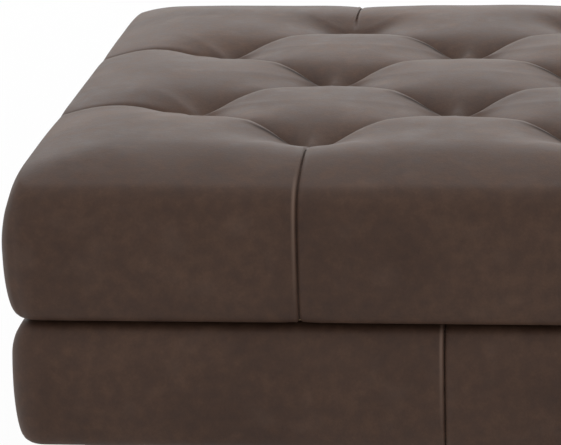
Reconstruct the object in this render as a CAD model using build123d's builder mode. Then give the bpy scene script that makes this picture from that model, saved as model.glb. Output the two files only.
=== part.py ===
from build123d import *
import math
import os

# Tufted ottoman coffee table in millimetres, +Z up, with its front towards -Y.
# The origin is on the floor under the middle of the table.

os.makedirs("parts", exist_ok=True)

# Driving dimensions of the whole table
table_length = 1230
table_depth = 918
table_height = 432
top_unit_height = 164
floor_clearance = 132
base_setback = 5
tuft_pitch = 300
tuft_row_spacing = 145

# Tufted top: outer form of the cover
top_corner_radius = 40
top_low_inset = 9
top_high_inset = 12
top_widest_height = 86
top_low_roll = 12
top_high_roll = 26
cover_thickness = 12
cover_hem_thickness = 2
cover_hem_width = 44

# Tufted top: pits, pleats and border seams
pit_radius = 80
pit_depth = 36
pit_floor_radius = 3
pit_shoulder = 5
pit_lip = 1.5
pit_cover_thickness = 6
pleat_width = 28
pleat_depth = 6
seam_width = 3
seam_depth = 2.5
dimple_radius = 66
dimple_floor_radius = 10

# Deck board and foam core of the top
board_thickness = 18
board_inset = 24
board_corner_radius = 16
core_low_inset = 6
tie_radius = 1.2
tie_hole_radius = 4
tie_anchor_depth = 3
knot_radius = 3
knot_height = 2.5
washer_radius = 12
washer_thickness = 2

# Upholstered base: outer form, leather and foam pads
base_corner_radius = 36
base_low_inset = 6
base_high_inset = 6
base_widest_height = 70
base_low_roll = 14
base_high_roll = 26
leather_thickness = 2
pad_thickness = 32
panel_gap = 1

# Base frame
rail_thickness = 22
cross_rail_height = 110
corner_block_size = 92
corner_block_height = 60
cleat_length = 90
cleat_width = 48
cleat_height = 26

# Fasteners
wood_screw_radius = 2.25
wood_screw_head_radius = 4.5
wood_screw_head_height = 3
rail_screw_length = 58
cleat_screw_length = 34
plate_screw_length = 22
bolt_radius = 3
bolt_head_radius = 6
bolt_head_height = 4
bolt_reach_above_board = 1
bolt_washer_radius = 9
bolt_washer_thickness = 1.6
tee_nut_radius = 4
tee_nut_flange_radius = 9
tee_nut_flange_thickness = 1.5
staple_wire = 0.7
staple_crown = 10
staple_leg = 7
staple_spacing = 105

# Dust cover under the base
dust_cover_thickness = 1
dust_cover_inset = 48
dust_cover_clearance = 3

# Legs, their plates and their glides
plate_size = 66
plate_thickness = 3
plate_clearance = 3
plate_screw_spacing = 46
leg_top_radius = 29
leg_bottom_radius = 18
leg_collar_height = 22
leg_edge = 2
hanger_radius = 4
hanger_depth = 38
hanger_reach = 16
hanger_room = 6
glide_radius = 15
glide_height = 6
glide_edge = 1.5
stem_radius = 4
stem_length = 26
stem_clearance = 0.05
stem_room_radius = 5
stem_room = 34
stem_socket_depth = 4
insert_radius = 6
insert_length = 16

overrun = 10

# Levels and places worked out from the sizes above
top_bottom = table_height - top_unit_height
board_bottom = top_bottom + cover_hem_thickness
board_top = board_bottom + board_thickness
core_top = table_height - cover_thickness
pit_bottom = table_height - pit_depth
dimple_bottom = pit_bottom - pit_cover_thickness
base_length = table_length - 2 * base_setback
base_depth = table_depth - 2 * base_setback
rail_top = top_bottom - leather_thickness
rail_bottom = floor_clearance + leather_thickness
rail_height = rail_top - rail_bottom
frame_inset = leather_thickness + pad_thickness
frame_length = base_length - 2 * frame_inset
frame_depth = base_depth - 2 * frame_inset
inner_length = frame_length - 2 * rail_thickness
inner_depth = frame_depth - 2 * rail_thickness
plate_bottom = rail_bottom - plate_thickness
leg_offset_x = inner_length / 2 - plate_clearance - plate_size / 2
leg_offset_y = inner_depth / 2 - plate_clearance - plate_size / 2
cleat_bottom = rail_top - cleat_height
cleat_x = tuft_pitch
cleat_y = inner_depth / 2 - cleat_width / 2

outer_columns = [-1.5 * tuft_pitch, -0.5 * tuft_pitch, 0.5 * tuft_pitch, 1.5 * tuft_pitch]
inner_columns = [-tuft_pitch, 0, tuft_pitch]
long_rows = [-tuft_row_spacing, tuft_row_spacing]
short_rows = [-2 * tuft_row_spacing, 0, 2 * tuft_row_spacing]
tufts = [(x, y) for y in short_rows for x in inner_columns]
tufts += [(x, y) for y in long_rows for x in outer_columns]

corner_signs = {"front_left": (-1, -1), "front_right": (1, -1), "back_left": (-1, 1), "back_right": (1, 1)}
leg_places = {name: (sx * leg_offset_x, sy * leg_offset_y) for name, (sx, sy) in corner_signs.items()}


def side_points(reach, low, high, low_inset, high_inset, widest):
    """Three points up the bulged side of an upholstered block, at the given reach from its middle."""
    return (reach - low_inset, low), (reach, low + widest), (reach - high_inset, high)


def rolled_block(length, depth, corner, low, high, insets, widest, rolls):
    """Upholstered block with bulged sides, rolled edges and round corners between two heights."""
    low_inset, high_inset = insets
    low_roll, high_roll = rolls
    with BuildPart() as block:
        runs = (
            (Plane.XZ, length / 2, depth / 2 - corner),
            (Plane.YZ, depth / 2, length / 2 - corner),
        )
        for plane, reach, run in runs:
            right = side_points(reach, low, high, low_inset, high_inset, widest)
            left = [(-x, z) for x, z in right]
            with BuildSketch(plane) as section:
                with BuildLine():
                    ThreePointArc(*right)
                    ThreePointArc(*left)
                    Line(right[0], left[0])
                    Line(right[2], left[2])
                make_face()
                fillet(section.vertices().group_by(Axis.Y)[-1], high_roll)
                fillet(section.vertices().group_by(Axis.Y)[0], low_roll)
            extrude(amount=run, both=True)
        side = side_points(corner, low, high, low_inset, high_inset, widest)
        for sx, sy in corner_signs.values():
            centre = (sx * (length / 2 - corner), sy * (depth / 2 - corner), 0)
            with BuildSketch(Plane(origin=centre, x_dir=(sx, 0, 0), z_dir=(0, -sx, 0))) as quarter:
                with BuildLine():
                    ThreePointArc(*side)
                    Polyline(side[2], (0, high), (0, low), side[0])
                make_face()
                fillet(quarter.vertices().group_by(Axis.Y)[-1].sort_by(Axis.X)[-1], high_roll)
                fillet(quarter.vertices().group_by(Axis.Y)[0].sort_by(Axis.X)[-1], low_roll)
            revolve(axis=Axis(centre, (0, 0, sx * sy)), revolution_arc=90)
    return block.part


def countersunk_screw(length):
    """Countersunk wood screw with the middle of its head at the origin, pointing down."""
    with BuildPart() as screw:
        with BuildSketch(Plane.XZ):
            with BuildLine():
                Polyline(
                    (0, 0),
                    (wood_screw_head_radius, 0),
                    (wood_screw_radius, -wood_screw_head_height),
                    (wood_screw_radius, wood_screw_radius - length),
                    (0, -length),
                    close=True,
                )
            make_face()
        revolve(axis=Axis.Z)
    return screw.part


def staple():
    """Staple with its crown under the origin along X and its two legs pointing up."""
    with BuildPart() as wire:
        with Locations((0, 0, -staple_wire / 2)):
            Box(staple_crown, staple_wire, staple_wire)
        with Locations(*[(sx * (staple_crown - staple_wire) / 2, 0, staple_leg / 2) for sx in (-1, 1)]):
            Box(staple_wire, staple_wire, staple_leg)
    return wire.part


def edge_places(half_length, half_depth, height):
    """Places of a row of staples round a rectangle, each along the edge that it holds."""
    places = []
    along = int(2 * half_length / staple_spacing)
    for i in range(along + 1):
        x = (i - along / 2) * staple_spacing
        places += [Location((x, sy * half_depth, height)) for sy in (-1, 1)]
    across = int(2 * half_depth / staple_spacing) - 1
    for i in range(across + 1):
        y = (i - across / 2) * staple_spacing
        places += [Location((sx * half_length, y, height), (0, 0, 90)) for sx in (-1, 1)]
    return places


def finish(part, name):
    """Label a finished piece and write it to its own file."""
    part.label = name
    export_step(part, f"parts/{name}.step")


# Fasteners of the top unit
tie_bottom = board_bottom - washer_thickness
with BuildPart() as tuft_ties:
    for x, y in tufts:
        with Locations((x, y, tie_bottom)):
            Cylinder(
                tie_radius,
                dimple_bottom + tie_anchor_depth - tie_bottom,
                align=(Align.CENTER, Align.CENTER, Align.MIN),
            )
            Cylinder(knot_radius, knot_height, align=(Align.CENTER, Align.CENTER, Align.MAX))

with BuildPart() as tuft_anchor_washers:
    with BuildSketch(Plane.XY.offset(tie_bottom)):
        with Locations(*tufts):
            Circle(washer_radius)
            Circle(tie_radius, mode=Mode.SUBTRACT)
    extrude(amount=washer_thickness)

bolt_places = [(sx * cleat_x, sy * cleat_y) for sx, sy in corner_signs.values()]
tee_nut_bottom = board_bottom + board_thickness / 3
bolt_top = board_top - tee_nut_flange_thickness - bolt_reach_above_board
bolt_washer_bottom = cleat_bottom - bolt_washer_thickness

with BuildPart() as top_fixing_bolts:
    with BuildSketch(Plane.XY.offset(bolt_washer_bottom)):
        with Locations(*bolt_places):
            RegularPolygon(bolt_head_radius, 6)
    extrude(amount=-bolt_head_height)
    with BuildSketch(Plane.XY.offset(bolt_washer_bottom)):
        with Locations(*bolt_places):
            Circle(bolt_radius)
    extrude(amount=bolt_top - bolt_washer_bottom)

with BuildPart() as top_fixing_washers:
    with BuildSketch(Plane.XY.offset(bolt_washer_bottom)):
        with Locations(*bolt_places):
            Circle(bolt_washer_radius)
            Circle(bolt_radius, mode=Mode.SUBTRACT)
    extrude(amount=bolt_washer_thickness)

with BuildPart() as deck_tee_nuts:
    with BuildSketch(Plane.XY.offset(tee_nut_bottom)):
        with Locations(*bolt_places):
            Circle(tee_nut_radius)
    extrude(amount=board_top - tee_nut_bottom)
    with BuildSketch(Plane.XY.offset(board_top)):
        with Locations(*bolt_places):
            Circle(tee_nut_flange_radius)
    extrude(amount=-tee_nut_flange_thickness)
    with BuildSketch(Plane.XY.offset(tee_nut_bottom)):
        with Locations(*bolt_places):
            Circle(bolt_radius)
    extrude(amount=board_top - tee_nut_bottom, mode=Mode.SUBTRACT)

hem_middle = board_inset + cover_hem_width - staple_crown / 2
with BuildPart() as top_cover_staples:
    with Locations(*edge_places(table_length / 2 - hem_middle, table_depth / 2 - hem_middle, top_bottom)):
        add(staple())

# Deck board: plywood, drilled for the ties and for the T-nuts
with BuildPart() as top_deck_board:
    with BuildSketch(Plane.XY.offset(board_bottom)):
        RectangleRounded(
            table_length - 2 * board_inset, table_depth - 2 * board_inset, board_corner_radius
        )
        with Locations(*tufts):
            Circle(tie_hole_radius, mode=Mode.SUBTRACT)
        with Locations(*bolt_places):
            Circle(tee_nut_radius, mode=Mode.SUBTRACT)
    extrude(amount=board_thickness)
    with BuildSketch(Plane.XY.offset(board_top)):
        with Locations(*bolt_places):
            Circle(tee_nut_flange_radius)
    extrude(amount=-tee_nut_flange_thickness, mode=Mode.SUBTRACT)
    add(top_cover_staples.part, mode=Mode.SUBTRACT)

# Foam core: follows the cover inside and is pressed to a dimple at each tuft
with BuildPart() as core_form:
    add(
        rolled_block(
            table_length - 2 * cover_thickness,
            table_depth - 2 * cover_thickness,
            top_corner_radius - cover_thickness,
            board_top,
            core_top,
            (core_low_inset, top_high_inset),
            top_widest_height + top_bottom - board_top,
            (top_low_roll / 2, top_high_roll - cover_thickness),
        )
    )
    with Locations(*[(x, y, dimple_bottom) for x, y in tufts]):
        Cone(
            dimple_floor_radius,
            dimple_radius,
            core_top - dimple_bottom,
            align=(Align.CENTER, Align.CENTER, Align.MIN),
            mode=Mode.SUBTRACT,
        )

with BuildPart() as top_foam_core:
    add(core_form.part)
    with BuildSketch(Plane.XY.offset(board_top)):
        with Locations(*tufts):
            Circle(tie_hole_radius)
    extrude(amount=core_top - board_top, mode=Mode.SUBTRACT)

# One tuft pit, turned about its own axis, to be cut out of the cover
with BuildPart() as pit:
    with BuildSketch(Plane.XZ):
        with BuildLine():
            wall = SagittaArc((pit_floor_radius, -pit_depth), (pit_radius, pit_lip), pit_shoulder)
            Polyline(wall @ 1, (pit_radius, overrun), (0, overrun), (0, -pit_depth), wall @ 0)
        make_face()
    revolve(axis=Axis.Z)

# Pleats run from tuft to tuft along the diagonals, and straight out to the borders
row_edge = table_depth / 2 + overrun
column_edge = table_length / 2 + overrun
pleats = []
for row in long_rows:
    for column in outer_columns:
        for near in short_rows:
            if abs(near - row) < 1.5 * tuft_row_spacing:
                for side in inner_columns:
                    if abs(side - column) < tuft_pitch:
                        pleats.append(((column, row), (side, near)))
    for sx in (-1, 1):
        pleats.append(((sx * outer_columns[-1], row), (sx * column_edge, row)))
for column in inner_columns:
    for sy in (-1, 1):
        pleats.append(((column, sy * short_rows[-1]), (column, sy * row_edge)))


def pleat_channel(start, end):
    """V-shaped channel with its sharp bottom under the line between two points of the top."""
    run_x = end[0] - start[0]
    run_y = end[1] - start[1]
    plane = Plane(
        origin=(start[0], start[1], table_height), x_dir=(-run_y, run_x, 0), z_dir=(run_x, run_y, 0)
    )
    open_width = pleat_width * (pleat_depth + overrun) / pleat_depth
    with BuildPart() as channel:
        with BuildSketch(plane):
            with BuildLine():
                Polyline((0, -pleat_depth), (open_width / 2, overrun), (-open_width / 2, overrun), close=True)
            make_face()
        extrude(amount=math.hypot(run_x, run_y))
    return channel.part


top_insets = (top_low_inset, top_high_inset)
top_rolls = (top_low_roll, top_high_roll)
top_form = rolled_block(
    table_length, table_depth, top_corner_radius, top_bottom, table_height, top_insets, top_widest_height, top_rolls
)

# Seam grooves: slices of the form's outer skin, down the front and back borders
border = table_depth / 2 - 2 * tuft_row_spacing
with BuildPart() as seam_grooves:
    for column in inner_columns:
        for sy in (-1, 1):
            with Locations((column, sy * (table_depth / 2 + overrun), top_bottom + top_unit_height / 2)):
                Box(seam_width, 2 * (border + overrun), top_unit_height + 2 * overrun)
    add(
        rolled_block(
            table_length - 2 * seam_depth,
            table_depth - 2 * seam_depth,
            top_corner_radius - seam_depth,
            top_bottom,
            table_height - seam_depth,
            top_insets,
            top_widest_height,
            (top_low_roll - seam_depth, top_high_roll - seam_depth),
        ),
        mode=Mode.SUBTRACT,
    )

# Tufted cover: leather over batting, hollow for the core and board, open under the board
with BuildPart() as tufted_top_cover:
    add(top_form)
    add(core_form.part, mode=Mode.SUBTRACT)
    with BuildSketch(Plane.XY.offset(board_bottom)):
        RectangleRounded(
            table_length - 2 * board_inset, table_depth - 2 * board_inset, board_corner_radius
        )
    extrude(amount=board_thickness, mode=Mode.SUBTRACT)
    hem_edge = board_inset + cover_hem_width
    with BuildSketch(Plane.XY.offset(top_bottom)):
        Rectangle(table_length - 2 * hem_edge, table_depth - 2 * hem_edge)
    extrude(amount=cover_hem_thickness, mode=Mode.SUBTRACT)
    with Locations(*[(x, y, table_height) for x, y in tufts]):
        add(pit.part, mode=Mode.SUBTRACT)
    add([pleat_channel(start, end) for start, end in pleats], mode=Mode.SUBTRACT)
    add(seam_grooves.part, mode=Mode.SUBTRACT)
    add(tuft_ties.part, mode=Mode.SUBTRACT)
    add(top_cover_staples.part, mode=Mode.SUBTRACT)

finish(tuft_ties.part, "tuft_ties")
finish(tuft_anchor_washers.part, "tuft_anchor_washers")
finish(top_fixing_bolts.part, "top_fixing_bolts")
finish(top_fixing_washers.part, "top_fixing_washers")
finish(deck_tee_nuts.part, "deck_tee_nuts")
finish(top_cover_staples.part, "top_cover_staples")
finish(top_deck_board.part, "top_deck_board")
finish(top_foam_core.part, "top_foam_core")
finish(tufted_top_cover.part, "tufted_top_cover")

# Screws of the base frame: long ones through the rails, short ones through the cleats
screw_levels = [rail_bottom + rail_height / 4, rail_bottom + rail_height * 3 / 4]
cross_screw_levels = [rail_bottom + cross_rail_height / 4, rail_bottom + cross_rail_height * 3 / 4]
side_rail_x = frame_length / 2 - rail_thickness / 2


def rail_screw_places(columns, levels):
    """Places of screws driven through the front and back rails towards the middle."""
    return [
        Location((x, sy * frame_depth / 2, z), (-90 * sy, 0, 0)) for x in columns for z in levels for sy in (-1, 1)
    ]


with BuildPart() as rail_screws:
    with Locations(*rail_screw_places((-side_rail_x, side_rail_x), screw_levels)):
        add(countersunk_screw(rail_screw_length))
finish(rail_screws.part, "rail_screws")

with BuildPart() as cross_rail_screws:
    with Locations(*rail_screw_places((0,), cross_screw_levels)):
        add(countersunk_screw(rail_screw_length))
finish(cross_rail_screws.part, "cross_rail_screws")

with BuildPart() as cleat_screws:
    for sx, sy in corner_signs.values():
        for step in (-1, 1):
            place = (sx * cleat_x + step * cleat_length / 3, sy * inner_depth / 2, rail_top - cleat_height / 2)
            outside = Location((place[0], place[1] + sy * rail_thickness, place[2]), (-90 * sy, 0, 0))
            with Locations(outside):
                add(countersunk_screw(rail_thickness + cleat_screw_length / 2))
finish(cleat_screws.part, "cleat_screws")

screw_grid = [
    (x + i * plate_screw_spacing / 2, y + j * plate_screw_spacing / 2)
    for x, y in leg_places.values()
    for i in (-1, 1)
    for j in (-1, 1)
]
with BuildPart() as leg_plate_screws:
    with Locations(*[Location((x, y, plate_bottom), (180, 0, 0)) for x, y in screw_grid]):
        add(countersunk_screw(plate_screw_length))
finish(leg_plate_screws.part, "leg_plate_screws")

# Staples under the base: one row holds the leather, an inner row holds the dust cover
cover_staple_inset = frame_inset + rail_thickness / 4
dust_staple_inset = dust_cover_inset + staple_wire * 3
with BuildPart() as base_cover_staples:
    with Locations(
        *edge_places(base_length / 2 - cover_staple_inset, base_depth / 2 - cover_staple_inset, floor_clearance)
    ):
        add(staple())
finish(base_cover_staples.part, "base_cover_staples")

dust_cover_bottom = floor_clearance - dust_cover_thickness
with BuildPart() as dust_cover_staples:
    with Locations(
        *edge_places(base_length / 2 - dust_staple_inset, base_depth / 2 - dust_staple_inset, dust_cover_bottom)
    ):
        add(staple())
finish(dust_cover_staples.part, "dust_cover_staples")

# Rails: the long ones run the whole length, the short ones fit between them
for name, sy in (("front_rail", -1), ("back_rail", 1)):
    with BuildPart() as rail:
        with Locations((0, sy * (frame_depth - rail_thickness) / 2, rail_bottom + rail_height / 2)):
            Box(frame_length, rail_thickness, rail_height)
        for fastener in (rail_screws, cross_rail_screws, cleat_screws, base_cover_staples, dust_cover_staples):
            add(fastener.part, mode=Mode.SUBTRACT)
    finish(rail.part, name)

for name, sx in (("left_rail", -1), ("right_rail", 1)):
    with BuildPart() as rail:
        with Locations((sx * side_rail_x, 0, rail_bottom + rail_height / 2)):
            Box(rail_thickness, inner_depth, rail_height)
        for fastener in (rail_screws, base_cover_staples, dust_cover_staples):
            add(fastener.part, mode=Mode.SUBTRACT)
    finish(rail.part, name)

with BuildPart() as centre_cross_rail:
    with Locations((0, 0, rail_bottom + cross_rail_height / 2)):
        Box(rail_thickness, inner_depth, cross_rail_height)
    add(cross_rail_screws.part, mode=Mode.SUBTRACT)
finish(centre_cross_rail.part, "centre_cross_rail")

# Hanger bolts join each leg to its plate
with BuildPart() as hanger_bolts:
    with Locations(*[(x, y, plate_bottom - hanger_depth) for x, y in leg_places.values()]):
        Cylinder(hanger_radius, hanger_depth + hanger_reach, align=(Align.CENTER, Align.CENTER, Align.MIN))
finish(hanger_bolts.part, "hanger_bolts")

# Corner blocks, top cleats, leg plates, legs and glides, one set for each corner
block_inner_x = inner_length / 2 - corner_block_size / 2
block_inner_y = inner_depth / 2 - corner_block_size / 2
insert_bottom = glide_height
for corner, (sx, sy) in corner_signs.items():
    leg_x, leg_y = leg_places[corner]

    with BuildPart() as corner_block:
        with Locations((sx * block_inner_x, sy * block_inner_y, rail_bottom + corner_block_height / 2)):
            Box(corner_block_size, corner_block_size, corner_block_height)
        with Locations((leg_x, leg_y, rail_bottom)):
            Cylinder(
                hanger_radius + hanger_room,
                hanger_reach + hanger_room,
                align=(Align.CENTER, Align.CENTER, Align.MIN),
                mode=Mode.SUBTRACT,
            )
        add(leg_plate_screws.part, mode=Mode.SUBTRACT)
        add(rail_screws.part, mode=Mode.SUBTRACT)
    finish(corner_block.part, f"corner_block_{corner}")

    with BuildPart() as top_cleat:
        with Locations((sx * cleat_x, sy * cleat_y, cleat_bottom + cleat_height / 2)):
            Box(cleat_length, cleat_width, cleat_height)
        add(cleat_screws.part, mode=Mode.SUBTRACT)
        add(top_fixing_bolts.part, mode=Mode.SUBTRACT)
    finish(top_cleat.part, f"top_cleat_{corner}")

    with BuildPart() as leg_plate:
        with Locations((leg_x, leg_y, plate_bottom + plate_thickness / 2)):
            Box(plate_size, plate_size, plate_thickness)
        add(leg_plate_screws.part, mode=Mode.SUBTRACT)
        add(hanger_bolts.part, mode=Mode.SUBTRACT)
    finish(leg_plate.part, f"leg_plate_{corner}")

    with BuildPart() as leg:
        with BuildSketch(Plane(origin=(leg_x, leg_y, 0), x_dir=(1, 0, 0), z_dir=(0, -1, 0))) as outline:
            with BuildLine():
                Polyline(
                    (0, glide_height),
                    (leg_bottom_radius, glide_height),
                    (leg_top_radius, plate_bottom - leg_collar_height),
                    (leg_top_radius, plate_bottom),
                    (0, plate_bottom),
                    close=True,
                )
            make_face()
            fillet(outline.vertices().sort_by(Axis.X)[2:], leg_edge)
        revolve(axis=Axis((leg_x, leg_y, 0), (0, 0, 1)))
        add(hanger_bolts.part, mode=Mode.SUBTRACT)
        with Locations((leg_x, leg_y, insert_bottom)):
            Cylinder(
                insert_radius, insert_length, align=(Align.CENTER, Align.CENTER, Align.MIN), mode=Mode.SUBTRACT
            )
            Cylinder(
                stem_room_radius, stem_room, align=(Align.CENTER, Align.CENTER, Align.MIN), mode=Mode.SUBTRACT
            )
    finish(leg.part, f"leg_{corner}")

    with BuildPart() as glide_foot:
        with BuildSketch(Plane.XY):
            with Locations((leg_x, leg_y)):
                Circle(glide_radius)
        extrude(amount=glide_height)
        chamfer(glide_foot.edges().filter_by(GeomType.CIRCLE), glide_edge)
        with Locations((leg_x, leg_y, glide_height)):
            Cylinder(
                stem_radius, stem_socket_depth, align=(Align.CENTER, Align.CENTER, Align.MAX), mode=Mode.SUBTRACT
            )
    finish(glide_foot.part, f"glide_foot_{corner}")

    with BuildPart() as glide_stem:
        with Locations((leg_x, leg_y, glide_height - stem_socket_depth)):
            Cylinder(
                stem_radius, stem_socket_depth + stem_length, align=(Align.CENTER, Align.CENTER, Align.MIN)
            )
    finish(glide_stem.part, f"glide_stem_{corner}")

with BuildPart() as leg_inserts:
    with BuildSketch(Plane.XY.offset(insert_bottom)):
        with Locations(*leg_places.values()):
            Circle(insert_radius)
            Circle(stem_radius + stem_clearance, mode=Mode.SUBTRACT)
    extrude(amount=insert_length)
finish(leg_inserts.part, "leg_inserts")

# Base upholstery: a form under the leather, which the pads fill and the leather covers
base_insets = (base_low_inset, base_high_inset)
base_form = rolled_block(
    base_length,
    base_depth,
    base_corner_radius,
    floor_clearance,
    top_bottom,
    base_insets,
    base_widest_height,
    (base_low_roll, base_high_roll),
)
padded_form = rolled_block(
    base_length - 2 * leather_thickness,
    base_depth - 2 * leather_thickness,
    base_corner_radius - leather_thickness,
    rail_bottom,
    rail_top,
    base_insets,
    base_widest_height - leather_thickness,
    (base_low_roll - leather_thickness, base_high_roll - leather_thickness),
)
middle_height = (rail_bottom + rail_top) / 2
pad_rooms = {
    "front_base_pad": (0, -1, base_length, pad_thickness, frame_depth / 2 + pad_thickness / 2),
    "back_base_pad": (0, 1, base_length, pad_thickness, frame_depth / 2 + pad_thickness / 2),
    "left_base_pad": (-1, 0, pad_thickness, frame_depth, frame_length / 2 + pad_thickness / 2),
    "right_base_pad": (1, 0, pad_thickness, frame_depth, frame_length / 2 + pad_thickness / 2),
}
for name, (sx, sy, room_x, room_y, reach) in pad_rooms.items():
    with BuildPart() as pad:
        add(padded_form)
        with Locations((sx * reach, sy * reach, middle_height)):
            Box(room_x, room_y, rail_height, mode=Mode.INTERSECT)
    finish(pad.part, name)

with BuildPart() as base_leather:
    add(base_form)
    add(padded_form, mode=Mode.SUBTRACT)
    with Locations((0, 0, middle_height)):
        Box(inner_length, inner_depth, top_bottom - floor_clearance, mode=Mode.SUBTRACT)
    add(base_cover_staples.part, mode=Mode.SUBTRACT)
    add(dust_cover_staples.part, mode=Mode.SUBTRACT)

seam_x = tuft_pitch / 2
panel_width = 2 * seam_x - panel_gap
wrap_width = base_length / 2 - seam_x - panel_gap / 2
panel_rooms = {
    "base_front_panel": (0, -base_depth / 4, panel_width, base_depth / 2),
    "base_back_panel": (0, base_depth / 4, panel_width, base_depth / 2),
    "base_left_wrap": (-base_length / 2 + wrap_width / 2, 0, wrap_width, base_depth),
    "base_right_wrap": (base_length / 2 - wrap_width / 2, 0, wrap_width, base_depth),
}
for name, (room_x, room_y, width, depth) in panel_rooms.items():
    with BuildPart() as panel:
        add(base_leather.part)
        with Locations((room_x, room_y, middle_height)):
            Box(width, depth, top_bottom - floor_clearance, mode=Mode.INTERSECT)
    finish(panel.part, name)

# Dust cover: thin black cloth with its corners cut away round the leg plates
with BuildPart() as dust_cover:
    with BuildSketch(Plane.XY.offset(dust_cover_bottom)):
        Rectangle(base_length - 2 * dust_cover_inset, base_depth - 2 * dust_cover_inset)
        with Locations(*leg_places.values()):
            Rectangle(
                plate_size + 2 * dust_cover_clearance,
                plate_size + 2 * dust_cover_clearance,
                mode=Mode.SUBTRACT,
            )
    extrude(amount=dust_cover_thickness)
    add(dust_cover_staples.part, mode=Mode.SUBTRACT)
finish(dust_cover.part, "dust_cover")
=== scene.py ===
import math

import bpy
import numpy as np
from mathutils import Matrix, Vector, noise


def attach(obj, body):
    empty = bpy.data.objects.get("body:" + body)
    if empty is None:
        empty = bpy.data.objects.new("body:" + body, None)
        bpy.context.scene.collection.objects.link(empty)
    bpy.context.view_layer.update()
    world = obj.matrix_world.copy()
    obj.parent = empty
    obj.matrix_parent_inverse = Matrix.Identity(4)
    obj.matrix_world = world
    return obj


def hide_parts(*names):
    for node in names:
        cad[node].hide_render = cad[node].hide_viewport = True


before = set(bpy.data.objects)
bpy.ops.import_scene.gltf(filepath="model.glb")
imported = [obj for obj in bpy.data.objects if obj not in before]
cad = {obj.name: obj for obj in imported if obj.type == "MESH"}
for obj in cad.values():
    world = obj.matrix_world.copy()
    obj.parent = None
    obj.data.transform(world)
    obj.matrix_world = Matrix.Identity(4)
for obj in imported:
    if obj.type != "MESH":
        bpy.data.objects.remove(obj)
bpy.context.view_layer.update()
corners = ("front_left", "front_right", "back_left", "back_right")


# Levelling glides: a moulded black plastic foot pressed on a zinc-plated steel stem.
# Each one screws into the insert of its own leg, so it rides on the body of its corner.
def paint(red, green, blue):
    """Linear colour of an sRGB colour given from 0 to 255."""
    shares = (red / 255, green / 255, blue / 255)
    return tuple(v / 12.92 if v <= 0.04045 else ((v + 0.055) / 1.055) ** 2.4 for v in shares) + (1.0,)


def start_material(name, roughness, metallic=0.0, specular=0.5):
    """A material with plain shader values; returns it with its tree, shader and object coordinates."""
    material = bpy.data.materials.new(name)
    material.use_nodes = True
    tree = material.node_tree
    shader = tree.nodes["Principled BSDF"]
    shader.inputs["Roughness"].default_value = roughness
    shader.inputs["Metallic"].default_value = metallic
    shader.inputs["Specular IOR Level"].default_value = specular
    place = tree.nodes.new("ShaderNodeTexCoord").outputs["Object"]
    return material, tree, shader, place


def add_noise(tree, place, scale, detail=4.0, stretch=(1, 1, 1), distortion=0.0):
    """Noise on object coordinates, finer along the axes that stretch makes larger."""
    mapping = tree.nodes.new("ShaderNodeMapping")
    mapping.inputs["Scale"].default_value = stretch
    tree.links.new(place, mapping.inputs["Vector"])
    pattern = tree.nodes.new("ShaderNodeTexNoise")
    pattern.inputs["Scale"].default_value = scale
    pattern.inputs["Detail"].default_value = detail
    pattern.inputs["Distortion"].default_value = distortion
    tree.links.new(mapping.outputs["Vector"], pattern.inputs["Vector"])
    return pattern.outputs["Fac"]


def add_ramp(tree, factor, stops):
    """Colour ramp over a factor, with its stops as (position, colour)."""
    ramp = tree.nodes.new("ShaderNodeValToRGB")
    while len(ramp.color_ramp.elements) < len(stops):
        ramp.color_ramp.elements.new(0.5)
    for element, (position, colour) in zip(ramp.color_ramp.elements, stops):
        element.position, element.color = position, colour
    tree.links.new(factor, ramp.inputs["Fac"])
    return ramp.outputs["Color"]


def add_bump(tree, height, strength, distance, under=None):
    """Bump from a height in metres times distance, over an earlier bump if one is given."""
    bump = tree.nodes.new("ShaderNodeBump")
    bump.inputs["Strength"].default_value = strength
    bump.inputs["Distance"].default_value = distance
    tree.links.new(height, bump.inputs["Height"])
    if under is not None:
        tree.links.new(under, bump.inputs["Normal"])
    return bump.outputs["Normal"]


def plain_finish(name, dark, light, roughness, metallic=0.0, grain=400.0, bump=0.0001):
    """Finish of a small part: two close colours mixed by fine noise, and a little roughness in relief."""
    material, tree, shader, place = start_material(name, roughness, metallic)
    speckle = add_noise(tree, place, grain)
    tree.links.new(add_ramp(tree, speckle, [(0.3, dark), (0.7, light)]), shader.inputs["Base Color"])
    tree.links.new(add_bump(tree, speckle, 0.3, bump), shader.inputs["Normal"])
    return material


def dress(names, material):
    """Gives CAD nodes a material through their objects' slots."""
    for name in names:
        for slot in cad[name].material_slots:
            slot.material = material


glide_plastic = plain_finish("moulded_black_plastic", paint(24, 24, 25), paint(34, 34, 35), 0.45)
zinc_steel = plain_finish("zinc_plated_steel", paint(150, 152, 156), paint(178, 180, 184), 0.32, 1.0)
dress([f"glide_foot_{c}" for c in corners], glide_plastic)
dress([f"glide_stem_{c}" for c in corners], zinc_steel)


# Legs: four turned and tapered hardwood legs, stained dark and sealed with satin lacquer.
# A hanger bolt in each top screws up into the steel plate, and a brass-coloured insert takes the glide.
grain_stretch = 14
pore_fineness = 9


def wood_finish(name, dark, light, roughness, along, ring_scale, coat=0.0):
    """Wood with its grain along one axis: stretched figure, fine pores and slight relief."""
    material, tree, shader, place = start_material(name, roughness)
    across = [ring_scale, ring_scale, ring_scale]
    across[along] = ring_scale / grain_stretch
    figure = add_noise(tree, place, 1.0, 6.0, across, 0.6)
    pores = [v * pore_fineness for v in across]
    streaks = add_noise(tree, place, 1.0, 3.0, pores)
    tree.links.new(
        add_ramp(tree, figure, [(0.32, dark), (0.52, light), (0.68, dark)]), shader.inputs["Base Color"]
    )
    tree.links.new(add_bump(tree, streaks, 0.35, 0.0002), shader.inputs["Normal"])
    shader.inputs["Coat Weight"].default_value = coat
    shader.inputs["Coat Roughness"].default_value = 0.25
    return material


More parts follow.
